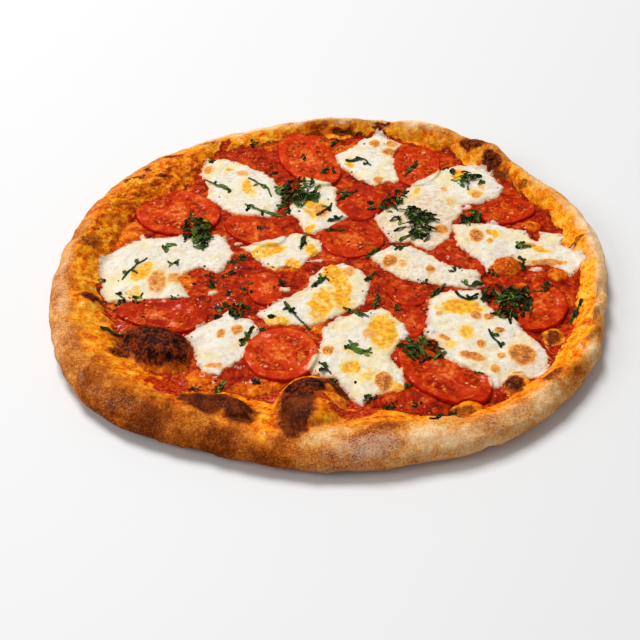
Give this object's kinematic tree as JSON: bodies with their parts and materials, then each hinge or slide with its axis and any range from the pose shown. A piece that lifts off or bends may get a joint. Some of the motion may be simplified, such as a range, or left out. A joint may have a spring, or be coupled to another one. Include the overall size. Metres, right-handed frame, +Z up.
{
  "type": "margherita pizza",
  "caption": "Whole round baked pizza with a blistered rim, tomato sauce, tomato slices, melted mozzarella and shredded basil.",
  "frame": {"origin": "middle of the underside, under the middle of the pizza's box", "axes": "+Z up out of the toppings, -Y towards the edge nearest the viewer, +X to the viewer's right"},
  "size_m": [0.369, 0.3466, 0.0226],
  "materials": {
    "crust": "baked dough, floury outside, oily and browned inside the rim",
    "sauce": "wet cooked tomato sauce",
    "mozzarella": "melted soft cheese with browned spots",
    "tomato": "moist baked tomato flesh",
    "basil": "wilted green leaf"
  },
  "bodies": {
    "root": {"crust": "crust", "sauce": "sauce", "mozzarella_1": "mozzarella", "mozzarella_2": "mozzarella", "mozzarella_3": "mozzarella", "mozzarella_4": "mozzarella", "mozzarella_5": "mozzarella", "mozzarella_6": "mozzarella", "mozzarella_7": "mozzarella", "mozzarella_8": "mozzarella", "mozzarella_9": "mozzarella", "mozzarella_10": "mozzarella", "mozzarella_11": "mozzarella", "mozzarella_12": "mozzarella", "tomato_1": "tomato", "tomato_2": "tomato", "tomato_3": "tomato", "tomato_4": "tomato", "tomato_5": "tomato", "tomato_6": "tomato", "tomato_7": "tomato", "tomato_8": "tomato", "tomato_9": "tomato", "tomato_10": "tomato", "tomato_11": "tomato", "tomato_12": "tomato", "tomato_13": "tomato", "tomato_14": "tomato", "tomato_15": "tomato", "basil_heap_1": "basil", "basil_heap_2": "basil", "basil_heap_3": "basil", "basil_heap_4": "basil", "basil_heap_5": "basil", "basil_heap_6": "basil", "basil_heap_7": "basil", "basil_heap_8": "basil", "basil_heap_9": "basil", "basil_leaf_1": "basil", "basil_leaf_2": "basil", "basil_leaf_3": "basil", "basil_leaf_4": "basil", "basil_leaf_5": "basil", "basil_leaf_6": "basil", "basil_leaf_7": "basil", "basil_leaf_8": "basil", "basil_leaf_9": "basil", "basil_leaf_10": "basil", "basil_leaf_11": "basil", "basil_leaf_12": "basil", "basil_leaf_13": "basil", "basil_leaf_14": "basil"}
  },
  "joints": []
}
